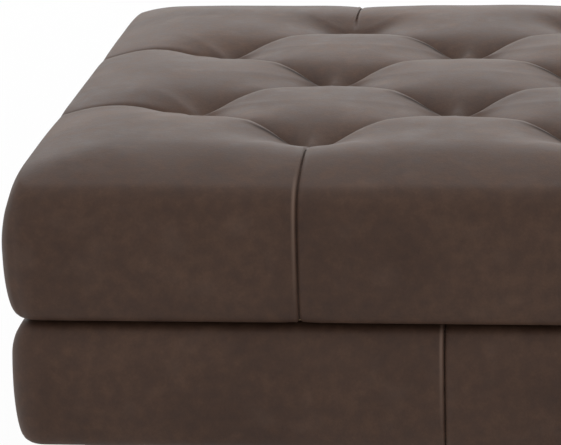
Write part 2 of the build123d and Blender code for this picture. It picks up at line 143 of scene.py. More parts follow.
leg_wood = wood_finish("dark_stained_hardwood", paint(38, 26, 20), paint(58, 40, 30), 0.42, 2, 60.0, 0.3)
brass_insert = plain_finish("yellow_zinc_steel", paint(168, 142, 84), paint(188, 162, 100), 0.35, 1.0)
dress([f"leg_{c}" for c in corners], leg_wood)
dress(["leg_inserts"], brass_insert)
dress(["hanger_bolts"], zinc_steel)


# Leg plates and the fasteners of the frame: pressed steel plates, countersunk wood screws and hex bolts.
# The staples are thin galvanised wire, shot through the leather and the cloth into the wood.
plate_steel = plain_finish("pressed_plate_steel", paint(118, 120, 124), paint(148, 150, 154), 0.4, 1.0, 250.0)
staple_wire = plain_finish("galvanised_staple_wire", paint(158, 160, 164), paint(186, 188, 192), 0.3, 1.0)
dress([f"leg_plate_{c}" for c in corners], plate_steel)
dress(
    [
        "leg_plate_screws",
        "rail_screws",
        "cross_rail_screws",
        "cleat_screws",
        "top_fixing_bolts",
        "top_fixing_washers",
        "deck_tee_nuts",
        "tuft_anchor_washers",
    ],
    zinc_steel,
)
dress(["base_cover_staples", "dust_cover_staples", "top_cover_staples"], staple_wire)


# Base frame: sawn hardwood rails, a cross rail, glued corner blocks and the cleats that the top bolts to.
# It stays raw, because leather, pads and the dust cover hide it; each rail's grain runs along the rail.
long_grain = wood_finish("sawn_hardwood_long", paint(176, 140, 98), paint(204, 172, 128), 0.75, 0, 45.0)
cross_grain = wood_finish("sawn_hardwood_cross", paint(172, 136, 94), paint(200, 168, 124), 0.75, 1, 45.0)
dress(["front_rail", "back_rail", *[f"top_cleat_{c}" for c in corners]], long_grain)
dress(["left_rail", "right_rail", "centre_cross_rail", *[f"corner_block_{c}" for c in corners]], cross_grain)


# Base pads: strips of upholstery foam glued round the outside of the frame under the leather.
# Each takes its room from its CAD solid, remeshed and softened so that its sawn edges are rounded,
# and set in a little from the leather.
def foam_finish(name):
    """Open-cell foam: pale cream with fine cells in relief."""
    material, tree, shader, place = start_material(name, 0.95, specular=0.1)
    cells = tree.nodes.new("ShaderNodeTexVoronoi")
    cells.inputs["Scale"].default_value = 700.0
    tree.links.new(place, cells.inputs["Vector"])
    cloud = add_noise(tree, place, 12.0)
    tree.links.new(
        add_ramp(tree, cloud, [(0.3, paint(222, 208, 168)), (0.7, paint(236, 224, 190))]),
        shader.inputs["Base Color"],
    )
    tree.links.new(add_bump(tree, cells.outputs["Distance"], 0.5, 0.0006), shader.inputs["Normal"])
    return material


def plain_mesh(draft, name):
    """Plain mesh object from a draft's evaluated modifiers; the draft is removed."""
    bpy.context.view_layer.update()
    evaluated = draft.evaluated_get(bpy.context.evaluated_depsgraph_get())
    mesh = bpy.data.meshes.new_from_object(evaluated)
    piece = bpy.data.objects.new(name, mesh)
    bpy.context.scene.collection.objects.link(piece)
    bpy.data.objects.remove(draft)
    mesh.name = name
    return piece


def finish_piece(piece, material, body="ottoman", smooth=True):
    """Sets one material and the shading of a finished piece, and makes it ride on its body."""
    piece.data.materials.clear()
    piece.data.materials.append(material)
    piece.data.polygons.foreach_set("use_smooth", [smooth] * len(piece.data.polygons))
    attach(piece, body)
    return piece


pad_weld = 0.00002
pad_voxel = 0.006
pad_settle = 0.006
pad_foam = foam_finish("cream_upholstery_foam")
for side in ("front", "back", "left", "right"):
    solid = cad[f"{side}_base_pad"]
    draft = bpy.data.objects.new("pad_draft", solid.data.copy())
    bpy.context.scene.collection.objects.link(draft)
    weld = draft.modifiers.new("weld", "WELD")
    weld.merge_threshold = pad_weld
    remesh = draft.modifiers.new("remesh", "REMESH")
    remesh.mode, remesh.voxel_size = "VOXEL", pad_voxel
    soften = draft.modifiers.new("soften", "SMOOTH")
    soften.factor, soften.iterations = 0.5, 4
    settle = draft.modifiers.new("settle", "DISPLACE")
    settle.mid_level, settle.strength = 0.0, -pad_settle
    pad = finish_piece(plain_mesh(draft, f"{side}_foam_pad"), pad_foam)
    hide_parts(f"{side}_base_pad")


# Base leather: four panels of 2 mm matt leather, pulled over the pads, turned in above and stapled below.
# Their ends are turned in and sewn to each other at two seams in front and two behind.
curve_samples = 600
least_corner = 0.004


def smooth_section(points, count):
    """Even steps down a smooth curve through (inset, height) points in mm, with their outward directions."""
    points = np.array(points) / 1000
    chord = np.concatenate([[0], np.cumsum(np.hypot(*np.diff(points, axis=0).T))])
    slope = np.gradient(points, chord, axis=0)
    fine = np.linspace(0, chord[-1], curve_samples)
    k = np.clip(np.searchsorted(chord, fine) - 1, 0, len(chord) - 2)
    width = chord[k + 1] - chord[k]
    t = ((fine - chord[k]) / width)[:, None]
    width = width[:, None]
    curve = (
        (2 * t**3 - 3 * t**2 + 1) * points[k]
        + (t**3 - 2 * t**2 + t) * width * slope[k]
        + (3 * t**2 - 2 * t**3) * points[k + 1]
        + (t**3 - t**2) * width * slope[k + 1]
    )
    length = np.concatenate([[0], np.cumsum(np.hypot(*np.diff(curve, axis=0).T))])
    even = np.linspace(0, length[-1], count)
    inset, level = (np.interp(even, length, curve[:, axis]) for axis in (0, 1))
    fall_in, fall_z = np.gradient(inset), np.gradient(level)
    size = np.hypot(fall_in, fall_z)
    return np.column_stack([inset, level, -fall_z / size, -fall_in / size])


def rim_place(entry, inset, half_length, half_depth, corner):
    """Plan place on a rounded rectangle at an inset from its widest outline."""
    u, v, nx, ny = entry
    radius = np.maximum(corner - inset, least_corner)
    return (
        u * (half_length - inset - radius) + nx * radius,
        v * (half_depth - inset - radius) + ny * radius,
    )


def ripple(scale, *place):
    """Smooth noise at a place, finer where the scale is larger."""
    return noise.noise(Vector([v * scale for v in place]))


def mesh_object(name, vertices, faces):
    """Object from arrays of places and faces."""
    mesh = bpy.data.meshes.new(name)
    mesh.from_pydata([tuple(v) for v in vertices], [], faces)
    mesh.update()
    piece = bpy.data.objects.new(name, mesh)
    bpy.context.scene.collection.objects.link(piece)
    return piece


def mark_leather(piece, name, values):
    """Stores under a mark's name how much painted highlight or painted shade goes into the leather's colour
    at each vertex.
    """
    mark = piece.data.attributes.new(name, "FLOAT", "POINT")
    mark.data.foreach_set("value", np.asarray(values, dtype=np.float32))


def leather_finish(name, tone, seed):
    """Matt leather: cloudy patches, faint scuffs, fine grain, a painted highlight along the seam welts and
    painted shade beside the folds.
    """
    material, tree, shader, place = start_material(name, 0.62, specular=0.35)
    shift = tree.nodes.new("ShaderNodeMapping")
    shift.inputs["Location"].default_value = (seed, 2 * seed, 3 * seed)
    tree.links.new(place, shift.inputs["Vector"])
    own = shift.outputs["Vector"]
    cloud = add_noise(tree, own, 7.0, 5.0, distortion=0.4)
    patch = add_noise(tree, own, 70.0, 7.0)
    mix = tree.nodes.new("ShaderNodeMix")
    mix.data_type = "FLOAT"
    mix.inputs["Factor"].default_value = 0.50
    tree.links.new(cloud, mix.inputs["A"])
    tree.links.new(patch, mix.inputs["B"])
    speckle = tree.nodes.new("ShaderNodeMix")
    speckle.data_type = "FLOAT"
    speckle.inputs["Factor"].default_value = 0.16
    tree.links.new(mix.outputs["Result"], speckle.inputs["A"])
    tree.links.new(add_noise(tree, own, 420.0, 2.0), speckle.inputs["B"])

    def shade(*steps):
        """The leather's tone with red, green and blue moved by steps."""
        return paint(*(value + step for value, step in zip(tone, steps)))

    colour = add_ramp(
        tree,
        speckle.outputs["Result"],
        [(0.34, shade(-14, -12, -10)), (0.50, shade(0, 0, 0)), (0.65, shade(15, 13, 11))],
    )
    scuff_noise = add_noise(tree, own, 22.0, 12.0, distortion=0.2)
    scuffs = add_ramp(tree, scuff_noise, [(0.55, (0, 0, 0, 1)), (0.75, (0.16, 0.16, 0.16, 1))])
    # Painted light from vertex marks: a pale painted highlight along the welts, and dark painted shade beside
    # the folds
    marks = {}
    for mark in ("painted_welt_highlight", "painted_fold_shade"):
        stored = tree.nodes.new("ShaderNodeAttribute")
        stored.attribute_name = mark
        marks[mark] = stored.outputs["Fac"]
    pale = shade(50, 48, 46)
    dark = shade(-44, -34, -27)
    for factor, other in ((scuffs, pale), (marks["painted_welt_highlight"], pale), (marks["painted_fold_shade"], dark)):
        blend = tree.nodes.new("ShaderNodeMix")
        blend.data_type = "RGBA"
        tree.links.new(factor, blend.inputs["Factor"])
        tree.links.new(colour, blend.inputs["A"])
        blend.inputs["B"].default_value = other
        colour = blend.outputs["Result"]
    tree.links.new(colour, shader.inputs["Base Color"])
    roughness = tree.nodes.new("ShaderNodeMapRange")
    roughness.inputs["To Min"].default_value = 0.52
    roughness.inputs["To Max"].default_value = 0.74
    tree.links.new(patch, roughness.inputs["Value"])
    dulled = tree.nodes.new("ShaderNodeMath")
    dulled.operation, dulled.use_clamp = "MULTIPLY_ADD", True
    dulled.inputs[1].default_value = 0.4
    tree.links.new(marks["painted_fold_shade"], dulled.inputs[0])
    tree.links.new(roughness.outputs["Result"], dulled.inputs[2])
    tree.links.new(dulled.outputs["Value"], shader.inputs["Roughness"])
    grain = tree.nodes.new("ShaderNodeTexVoronoi")
    grain.inputs["Scale"].default_value = 620.0
    tree.links.new(own, grain.inputs["Vector"])
    creases = add_noise(tree, own, 90.0, 8.0, distortion=1.2)
    relief = add_bump(tree, grain.outputs["Distance"], 0.18, 0.0004)
    tree.links.new(add_bump(tree, creases, 0.22, 0.0008, relief), shader.inputs["Normal"])
    return material


base_half_length, base_half_depth = 0.610, 0.454
base_corner = 0.036
leather_thickness = 0.002
leather_tone = (76, 54, 42)
base_seam_x = 0.150
base_section_steps = 48
base_section = smooth_section(
    [
        (55, 268), (44, 268), (36, 268), (29, 267.2), (22, 265.4), (16, 262.6), (12, 259.7), (8.7, 254.4),
        (5.6, 249.1), (3.5, 243.8), (2, 238.6), (0.9, 232), (0.3, 222), (0, 202), (0.5, 180), (1.3, 168.5),
        (2.4, 157.8), (4.1, 147), (6.9, 137.6), (11, 131.8), (17, 129.5), (24, 129.4), (32, 130.6),
        (40, 131.8), (47, 132), (55, 132),
    ],
    base_section_steps,
)
seam_gap = 0.0001
seam_steps = [0, 0.0004, 0.0009, 0.0016, 0.0026, 0.004, 0.006, 0.009, 0.013, 0.018, 0.024]
seam_zone, panel_step = 0.030, 0.0058
seam_draw, seam_draw_width = 0.0036, 0.0014
seam_hollow, base_hollow_width = 0.0008, 0.016
welt_height, welt_offset, welt_width = 0.0008, 0.0034, 0.0014
panel_wave, panel_wave_middle, panel_wave_scale = 0.0007, 0.4, 9
held_inset, held_fade = 0.036, 0.012
# Painted highlight along the base welts: none below the low level, full strength from that level plus the
# height
base_highlight_low, base_highlight_height = 0.150, 0.100


def panel_stations(start, end):
    """Places along the outline from seam to seam, counter-clockwise, close together near the seams."""
    run_x, run_y = base_half_length - base_corner, base_half_depth - base_corner
    turn = math.pi / 2 * base_corner
    if start < end:
        lengths = [end - start]
    else:
        lengths = [run_x - abs(start), turn, 2 * run_y, turn, run_x - abs(end)]
    total = sum(lengths)
    middle = np.linspace(seam_zone, total - seam_zone, int((total - 2 * seam_zone) / panel_step))
    along = [*seam_steps, *middle, *[total - s for s in reversed(seam_steps)]]
    side = -1 if start < end else (1 if start > 0 else -1)
    rows = []
    for s in along:
        if len(lengths) == 1:
            rows.append((s, ((start + s) / run_x, -1.0, 0.0, -1.0)))
            continue
        rest, part = s, 0
        while part < 4 and rest > lengths[part]:
            rest -= lengths[part]
            part += 1
        if part == 0:
            entry = ((abs(start) + rest) / run_x, -1.0, 0.0, -1.0)
        elif part == 1:
            a = rest / turn * math.pi / 2
            entry = (1.0, -1.0, math.sin(a), -math.cos(a))
        elif part == 2:
            entry = (1.0, rest / run_y - 1.0, 1.0, 0.0)
        elif part == 3:
            a = rest / turn * math.pi / 2
            entry = (1.0, 1.0, math.cos(a), math.sin(a))
        else:
            entry = (1.0 - rest / run_x, 1.0, 0.0, 1.0)
        u, v, nx, ny = entry
        rows.append((s, (side * u, side * v, side * nx, side * ny)))
    return rows, total


def base_panel(name, start, end, turned):
    """One leather panel from seam to seam; turned puts a front panel at the back."""
    rows, total = panel_stations(start, end)
    vertices, faces, painted_welt_highlight = [], [], []
    for s, entry in rows:
        if turned:
            entry = tuple(-v for v in entry)
        near = min(s, total - s)
        drawn = seam_draw * math.exp(-near / seam_draw_width)
        drawn += seam_hollow * math.exp(-((near / base_hollow_width) ** 2))
        front_x = rim_place(entry, 0, base_half_length, base_half_depth, base_corner)[0]
        left_of_seam = front_x < math.copysign(base_seam_x, front_x)
        welt = math.exp(-(((near - welt_offset) / welt_width) ** 2)) if left_of_seam else 0
        for inset, level, out, up in base_section:
            x, y = rim_place(entry, inset, base_half_length, base_half_depth, base_corner)
            wave = panel_wave * (panel_wave_middle + ripple(panel_wave_scale, x, y, level))
            sink = (drawn - welt_height * welt + wave) * min(1, max(0, (held_inset - inset) / held_fade))
            vertices.append((x - entry[2] * out * sink, y - entry[3] * out * sink, level - up * sink))
            # Painted highlight along the welt, stronger towards the top of the panel
            painted_welt_highlight.append(welt * min(1, max(0, (level - base_highlight_low) / base_highlight_height)))
    count = len(base_section)
    for i in range(len(rows) - 1):
        for j in range(count - 1):
            a, b = i * count + j, (i + 1) * count + j
            faces.append((a, a + 1, b + 1, b))
    draft = mesh_object("panel_draft", vertices, faces)
    mark_leather(draft, "painted_welt_highlight", painted_welt_highlight)
    thicken = draft.modifiers.new("thickness", "SOLIDIFY")
    thicken.thickness, thicken.offset = leather_thickness, -1.0
    return plain_mesh(draft, name)


base_leather = leather_finish("matt_brown_leather_base", leather_tone, seed=3.0)
half_panel = base_seam_x - seam_gap / 2
half_wrap = base_seam_x + seam_gap / 2
panels = (
    ("base_front_leather", -half_panel, half_panel, False, "base_front_panel"),
    ("base_back_leather", -half_panel, half_panel, True, "base_back_panel"),
    ("base_left_leather", -half_wrap, -half_wrap, False, "base_left_wrap"),
    ("base_right_leather", half_wrap, half_wrap, False, "base_right_wrap"),
)
for name, start, end, turned, node in panels:
    panel = finish_piece(base_panel(name, start, end, turned), base_leather)
    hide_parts(node)


# Dust cover: one sheet of thin black non-woven cloth, pulled tight under the frame and stapled at its edge.
# Its corners are cut away round the leg plates, and its middle hangs a few millimetres.
cloth_half_length, cloth_half_depth = 0.562, 0.406
cloth_thickness = 0.0006
cut_x = (0.482, 0.554)
cut_y = (0.326, 0.398)
cloth_level = 0.1315
cloth_sag = 0.003
cloth_ripple, cloth_ripple_scale = 0.0003, 30
cloth_middle_lines, cloth_cut_lines = 41, 5


def cloth_lines(half, cut):
    """Grid lines over a width, with lines on both edges of the cut-outs."""
    middle = np.linspace(-cut[0], cut[0], cloth_middle_lines)
    outer = [*np.linspace(cut[0], cut[1], cloth_cut_lines)[1:], half]
    return np.array([*[-v for v in reversed(outer)], *middle, *outer])


cloth_x, cloth_y = cloth_lines(cloth_half_length, cut_x), cloth_lines(cloth_half_depth, cut_y)
vertices = [
    (
        x,
        y,
        cloth_level
        - cloth_sag * (1 - (x / cloth_half_length) ** 2) * (1 - (y / cloth_half_depth) ** 2)
        + cloth_ripple * ripple(cloth_ripple_scale, x, y, 0),
    )
    for x in cloth_x
    for y in cloth_y
]
faces = []
for i in range(len(cloth_x) - 1):
    for j in range(len(cloth_y) - 1):
        mid_x, mid_y = abs(cloth_x[i] + cloth_x[i + 1]) / 2, abs(cloth_y[j] + cloth_y[j + 1]) / 2
        if not (cut_x[0] < mid_x < cut_x[1] and cut_y[0] < mid_y < cut_y[1]):
            a, b = i * len(cloth_y) + j, (i + 1) * len(cloth_y) + j
            faces.append((a, b, b + 1, a + 1))
used = sorted({v for face in faces for v in face})
renumber = {old: new for new, old in enumerate(used)}
draft = mesh_object(
    "cloth_draft", [vertices[v] for v in used], [tuple(renumber[v] for v in face) for face in faces]
)
thicken = draft.modifiers.new("thickness", "SOLIDIFY")
thicken.thickness, thicken.offset = cloth_thickness, 0.0
cloth, tree, shader, place = start_material("black_nonwoven_cloth", 0.9, specular=0.2)
fibres = add_noise(tree, place, 500.0, 3.0)
dots = tree.nodes.new("ShaderNodeTexVoronoi")
dots.inputs["Scale"].default_value = 420.0
dots.inputs["Randomness"].default_value = 0.15
tree.links.new(place, dots.inputs["Vector"])
tree.links.new(
    add_ramp(tree, fibres, [(0.3, paint(18, 18, 19)), (0.7, paint(34, 34, 36))]), shader.inputs["Base Color"]
)
tree.links.new(add_bump(tree, dots.outputs["Distance"], 0.5, 0.0004), shader.inputs["Normal"])
dust_cloth = finish_piece(plain_mesh(draft, "dust_cloth"), cloth)
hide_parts("dust_cover")


# Deck board: 18 mm plywood with its face grain along the length, the bench that the top is built on.
# Waxed twines hold the tufts down to washers under it.
plywood = wood_finish("plywood_deck", paint(188, 154, 108), paint(212, 182, 138), 0.7, 0, 30.0)
dress(["top_deck_board"], plywood)
twine, tree, shader, place = start_material("waxed_linen_twine", 0.6)
lay = add_noise(tree, place, 1.0, 2.0, (900, 900, 260))
linen = add_ramp(tree, lay, [(0.35, paint(120, 98, 66)), (0.65, paint(172, 146, 104))])
tree.links.new(linen, shader.inputs["Base Color"])
tree.links.new(add_bump(tree, lay, 0.6, 0.0004), shader.inputs["Normal"])
dress(["tuft_ties"], twine)


# Tufted top: one cover of matt leather bonded to batting, over a foam block on the deck board.
# Seventeen twines pull it down in a diamond pattern, without buttons, and folds run from tuft to tuft.
# Sewn seams run on from the front and back rows of tufts, and the edge is stapled under the board.
top_half_length, top_half_depth = 0.615, 0.459
top_corner = 0.040
top_low, top_high = 0.268, 0.4378
side_drop, front_drop, back_drop = 0.0168, 0.0180, 0.0100
side_reach, front_reach, border_span = 0.120, 0.130, 0.100
pit_depth, pit_spread, pit_outer_spread, pit_power = 0.0150, 0.0450, 0.038, 1.6
hole_depth, hole_spread, hole_round = 0.0070, 0.0060, 0.004
pit_width = 0.014
half_pitch, row_spacing = 0.15, 0.145
outer_columns = [step * half_pitch for step in (-3, -1, 1, 3)]
inner_columns = [step * half_pitch for step in (-2, 0, 2)]
short_rows = [step * row_spacing for step in (-2, 0, 2)]
long_rows = [-row_spacing, row_spacing]
last_column, last_row = outer_columns[-1], short_rows[-1]
neighbour_reach = 0.2
tufts = [(x, y) for y in short_rows for x in inner_columns]
tufts += [(x, y) for y in long_rows for x in outer_columns]
top_section_steps = 44
side_section = smooth_section(
    [
        (24, 424.6), (20.5, 423.9), (17.6, 422.5), (14.5, 419.2), (11.4, 414.6), (6.8, 405.2), (3.9, 395.5),
        (1.9, 385.5), (0.7, 372), (0, 354), (0.7, 333), (1.9, 312), (3, 302), (4.7, 291.5), (6.6, 283.5),
        (9, 277), (12.5, 272), (18, 269), (26, 268),
    ],
    top_section_steps,
)
front_section = smooth_section(
    [
        (24, 416.6), (20, 414.8), (16, 412), (11.8, 407.8), (8.6, 403.7), (6.2, 399.2), (4.4, 394.2),
        (2.9, 388), (1.6, 380), (0.6, 370), (0, 354), (0.7, 333), (1.9, 312), (3, 302), (4.7, 291.5),
        (6.6, 283.5), (9, 277), (12.5, 272), (18, 269), (26, 268),
    ],
    top_section_steps,
)


def beside(x, y, start, end):
    """How far places lie along a line and to the right of it, with the line's run and length."""
    run = np.array(end) - np.array(start)
    length = math.hypot(*run)
    along = ((x - start[0]) * run[0] + (y - start[1]) * run[1]) / length
    aside = ((x - start[0]) * run[1] - (y - start[1]) * run[0]) / length
    return along, aside, run, length


fold_start, tuft_reach = 0.0170, 0.058


def fold(x, y, start, end, middle, near_tuft, low_width, high_width, hollow, spread, both_ends):
    """Depth of one fold: a crease, steep on its one side, with a broad hollow along it."""
    along, aside, _, length = beside(x, y, start, end)
    near = np.minimum(along, length - along) if both_ends else along
    leaves = 1 - np.exp(-((np.maximum(near, 0) / fold_start) ** 2))
    width = np.where(aside > 0, low_width, high_width)
    depth = middle + (near_tuft - middle) * np.exp(-((near / tuft_reach) ** 2))
    crease = depth * np.exp(-np.abs(aside) / width)
    return leaves * (crease + hollow * np.exp(-((aside / spread) ** 2)))


# Each kind of fold, in the order that fold takes its values after the two ends
falling_fold = (0.0022, 0.020, 0.0054, 0.0120, 0.0038, 0.065, True)
rising_fold = (0.0015, 0.014, 0.0050, 0.0120, 0.0038, 0.065, True)
side_fold = (0.0014, 0.010, 0.0040, 0.0050, 0.0010, 0.030, False)
border_fold = (0.0, 0.002, 0.004, 0.004, 0.0022, 0.040, False)
side_fold_end, border_fold_end = 0.70, 0.55
folds, lapped = [], []
for row in long_rows:
    for column in outer_columns:
        for other in short_rows:
            if abs(other - row) < neighbour_reach:
                for side in inner_columns:
                    if abs(side - column) < neighbour_reach:
                        left, right = sorted([(column, row), (side, other)])
                        kind = falling_fold if right[1] < left[1] else rising_fold
                        folds.append((left, right, *kind))
                        lapped.append((left, right))
    for sign in (-1, 1):
        folds.append(((sign * last_column, row), (sign * side_fold_end, row), *side_fold))
for column in inner_columns:
    for sign in (-1, 1):
        folds.append(((column, sign * last_row), (column, sign * border_fold_end), *border_fold))

top_hollow_width = 0.014


def seam_line(x):
    """Depth of the sewn seams in line with the front and back tufts, each with a low welt on its left."""
    depth = np.zeros_like(x)
    for column in inner_columns:
        offset = x - column
        drawn = seam_draw * np.exp(-np.abs(offset) / seam_draw_width)
        hollow = seam_hollow * np.exp(-((offset / top_hollow_width) ** 2))
        depth += drawn + hollow
        depth -= welt_height * np.exp(-(((offset + welt_offset) / welt_width) ** 2))
    return depth


seam_start, seam_fade = 0.300, 0.035


def top_depth(x, y):
    """How deep the tufted surface lies under its crest at plan places."""
    depth, broad = np.zeros_like(x), np.zeros_like(x)
    for values in folds:
        depth = np.maximum(depth, fold(x, y, *values))
    for tx, ty in tufts:
        dx, dy = x - tx, y - ty
        wide = np.hypot(dx, pit_width) - pit_width
        reach = np.sqrt(wide**2 + dy**2 + hole_round**2)
        outward = np.clip(dy * np.sign(ty) / reach, 0, 1) ** 2 if abs(ty) > row_spacing else 0.0
        spread = pit_spread + (pit_outer_spread - pit_spread) * outward
        broad += (pit_depth * np.exp(-((reach / spread) ** pit_power))) ** 3
        depth += hole_depth * np.exp(-(reach - hole_round) / hole_spread)
    edge_x = side_drop * np.clip((side_reach - (top_half_length - np.abs(x))) / border_span, 0, None) ** 2
    edge_y = np.clip((front_reach - (top_half_depth - np.abs(y))) / border_span, 0, None) ** 2
    edge_y *= np.where(y < 0, front_drop, back_drop)
    seams = seam_line(x) * np.clip((np.abs(y) - seam_start) / seam_fade, 0, 1)
    return depth + np.cbrt(broad) + np.hypot(edge_x, edge_y) + seams


fold_band, tuft_room, draw_fade = 0.0163, 0.018, 0.03


def drawn_to_folds(x, y):
    """Moves grid places towards the lapped folds beside them, so that each fold is narrow and sharp."""
    for start, end in lapped:
        along, aside, run, length = beside(x, y, start, end)
        pull = np.clip((np.minimum(along, length - along) - tuft_room) / draw_fade, 0, 1)
        pull = pull * (np.abs(aside) < fold_band)
        moved = aside * (1 - pull + pull * np.sqrt(np.abs(aside) / fold_band))
        x = x + (moved - aside) * run[1] / length
        y = y - (moved - aside) * run[0] / length
    return x, y


gather_width, gather_fade = 0.0469, 0.05


def gathered(places, along, lines, first, warp):
    """Moves grid lines towards the seams or side folds, where along is past the outermost tufts."""
    pull = np.clip((np.abs(along) - first) / gather_fade, 0, 1)
    moved = places.copy()
    for line in lines:
        offset = places - line
        near = np.abs(offset) < gather_width
        share = (np.abs(offset[near]) / gather_width) ** warp
        moved[near] = line + offset[near] * (1 - pull[near] + pull[near] * share)
    return moved


border_share = 7 / 8
column_spans = 2 * (len(outer_columns) - 1)
row_spans = 2 * (len(short_rows) - 1)
seam_warp, side_warp = 1.2, 1.0


def grid_lines(edge, last, cells, spans):
    """Grid lines from edge to edge: cells for each span between tufts, and a share of them in each border."""
    border = round(cells * border_share)
    return np.concatenate(
        [
            np.linspace(-edge, -last, border + 1)[:-1],
            np.linspace(-last, last, cells * spans + 1),
            np.linspace(last, edge, border + 1)[1:],
        ]
    )


def grid_faces(lines_x, lines_y):
    """Two triangles for each grid cell, with their shared edge turned the way of the fold near them."""
    count = len(lines_x)
    faces = []
    for j in range(len(lines_y) - 1):
        for i in range(count - 1):
            a = j * count + i
            b, c, d = a + 1, a + count + 1, a + count
            u = (lines_x[i] + lines_x[i + 1]) / 2 / half_pitch
            v = (lines_y[j] + lines_y[j + 1]) / 2 / row_spacing
            if (math.floor(u) + math.floor(v)) % 2 == 0:
                faces += [(a, b, c), (a, c, d)]
            else:
                faces += [(a, b, d), (b, c, d)]
    return faces


def rim_order(nx, ny, turns):
    """Grid places round the rim with their outward directions, which turn in steps at the corners."""
    order = (
        [(i, (0, -1), (1, 0)) for i in range(nx)],
        [(j * nx + nx - 1, (1, 0), (0, 1)) for j in range(ny)],
        [((ny - 1) * nx + i, (0, 1), (-1, 0)) for i in range(nx - 1, -1, -1)],
        [(j * nx, (-1, 0), (0, -1)) for j in range(ny - 1, -1, -1)],
    )
    rim = []
    for side in order:
        rim += [(index, *normal) for index, normal, _ in side[1:-1]]
        index, normal, following = side[-1]
        for step in range(turns + 1):
            angle = step / turns * math.pi / 2
            cos, sin = math.cos(angle), math.sin(angle)
            rim.append((index, normal[0] * cos + following[0] * sin, normal[1] * cos + following[1] * sin))
    return (np.array(column) for column in zip(*rim))


corner_rings = 4
held_depth, least_held, foot_fade = 0.050, 0.25, 0.006


def top_surface(cells, turns, depth_in, last_rings):
    """Skin of the cushion, moved in by a depth: its places, faces, and the last ring's start and length."""
    edge_x, edge_y = top_half_length - top_corner, top_half_depth - top_corner
    lines_x = grid_lines(edge_x, last_column, cells, column_spans)
    lines_y = grid_lines(edge_y, last_row, cells, row_spans)
    grid_x, grid_y = (g.ravel() for g in np.meshgrid(lines_x, lines_y))
    flat_x = gathered(grid_x, grid_y, inner_columns, last_row, seam_warp)
    flat_y = gathered(grid_y, grid_x, long_rows, last_column, side_warp)
    flat_x, flat_y = drawn_to_folds(flat_x, flat_y)
    places = [np.column_stack([flat_x, flat_y, top_high - top_depth(flat_x, flat_y) - depth_in])]
    faces = grid_faces(lines_x, lines_y)
    index, out_x, out_y = rim_order(len(lines_x), len(lines_y), turns)
    entry = (flat_x[index] / edge_x, flat_y[index] / edge_y, out_x, out_y)

    def at(inset):
        return rim_place(entry, inset, top_half_length, top_half_depth, top_corner)

    rings = []
    for inset in np.linspace(top_corner, side_section[0][0], corner_rings)[1:]:
        x, y = at(inset)
        rings.append(np.column_stack([x, y, top_high - top_depth(x, y) - depth_in]))
    share = out_y**2
    shoulder = side_section[0][1] + (front_section[0][1] - side_section[0][1]) * share
    on_side = np.abs(out_x) > np.abs(out_y)
    seam = np.where(on_side, 0, seam_line(x))
    sunk = shoulder - depth_in - rings[-1][:, 2] - seam
    for at_side, at_front in zip(side_section[1:], front_section[1:]):
        inset, level, out, up = (at_side[c] + (at_front[c] - at_side[c]) * share for c in range(4))
        fallen = shoulder - level
        held = np.exp(-((fallen / held_depth) ** 2))
        keep = np.where(on_side, held, least_held + (1 - least_held) * held)
        foot = np.clip((level - top_low) / foot_fade, 0, 1)
        sink = sunk * keep * foot + seam + depth_in
        x, y = at(inset)
        rings.append(np.column_stack([x - out_x * out * sink, y - out_y * out * sink, level - up * sink]))
    for inset, level in last_rings:
        x, y = at(inset)
        rings.append(np.column_stack([x, y, np.full_like(x, level)]))
    count = len(index)
    base = len(grid_x)
    for n in range(count):
        m = (n + 1) % count
        if index[n] == index[m]:
            faces.append((int(index[n]), base + n, base + m))
        else:
            faces.append((int(index[n]), base + n, base + m, int(index[m])))
    for k in range(len(rings) - 1):
        a = base + k * count
        for n in range(count):
            m = (n + 1) % count
            faces.append((a + n, a + count + n, a + count + m, a + m))
    places += rings
    return np.concatenate(places), faces, base + (len(rings) - 1) * count, count


outer_cells, outer_turns = 32, 12
inner_cells, inner_turns = 8, 3
board_edge, hem_start, hem_edge = 0.0245, 0.030, 0.068
board_level = 0.2885
hem_level = top_low + leather_thickness
batting = 0.010
outside, outside_faces, outer_hem, outer_count = top_surface(
    outer_cells, outer_turns, 0.0, [(hem_start, top_low), (hem_edge, top_low)]
)
inside, inside_faces, inner_hem, inner_count = top_surface(
    inner_cells,
    inner_turns,
    batting,
    [(board_edge, board_level), (board_edge, hem_level), (hem_edge, hem_level)],
)
shell_faces = list(outside_faces)
start = len(outside)
shell_faces += [tuple(start + v for v in reversed(face)) for face in inside_faces]
ratio = outer_count // inner_count
for n in range(inner_count):
    inner_a, inner_b = start + inner_hem + n, start + inner_hem + (n + 1) % inner_count
    edge = [outer_hem + (n * ratio + k) % outer_count for k in range(ratio + 1)]
    half = ratio // 2
    shell_faces += [(edge[k + 1], edge[k], inner_a) for k in range(half)]
    shell_faces.append((inner_a, inner_b, edge[half]))
    shell_faces += [(edge[k + 1], edge[k], inner_b) for k in range(half, ratio)]
skin_wave_start, skin_wave, skin_wave_middle, skin_wave_scale = 0.012, 0.0009, 0.5, 14
for vertex in outside:
    if vertex[2] > top_low + skin_wave_start:
        vertex[2] -= skin_wave * (skin_wave_middle + ripple(skin_wave_scale, *vertex))
top_leather = leather_finish("matt_brown_leather_top", leather_tone, seed=11.0)
places = np.concatenate([outside, inside])
cover = finish_piece(mesh_object("tufted_leather_top", places, shell_faces), top_leather)
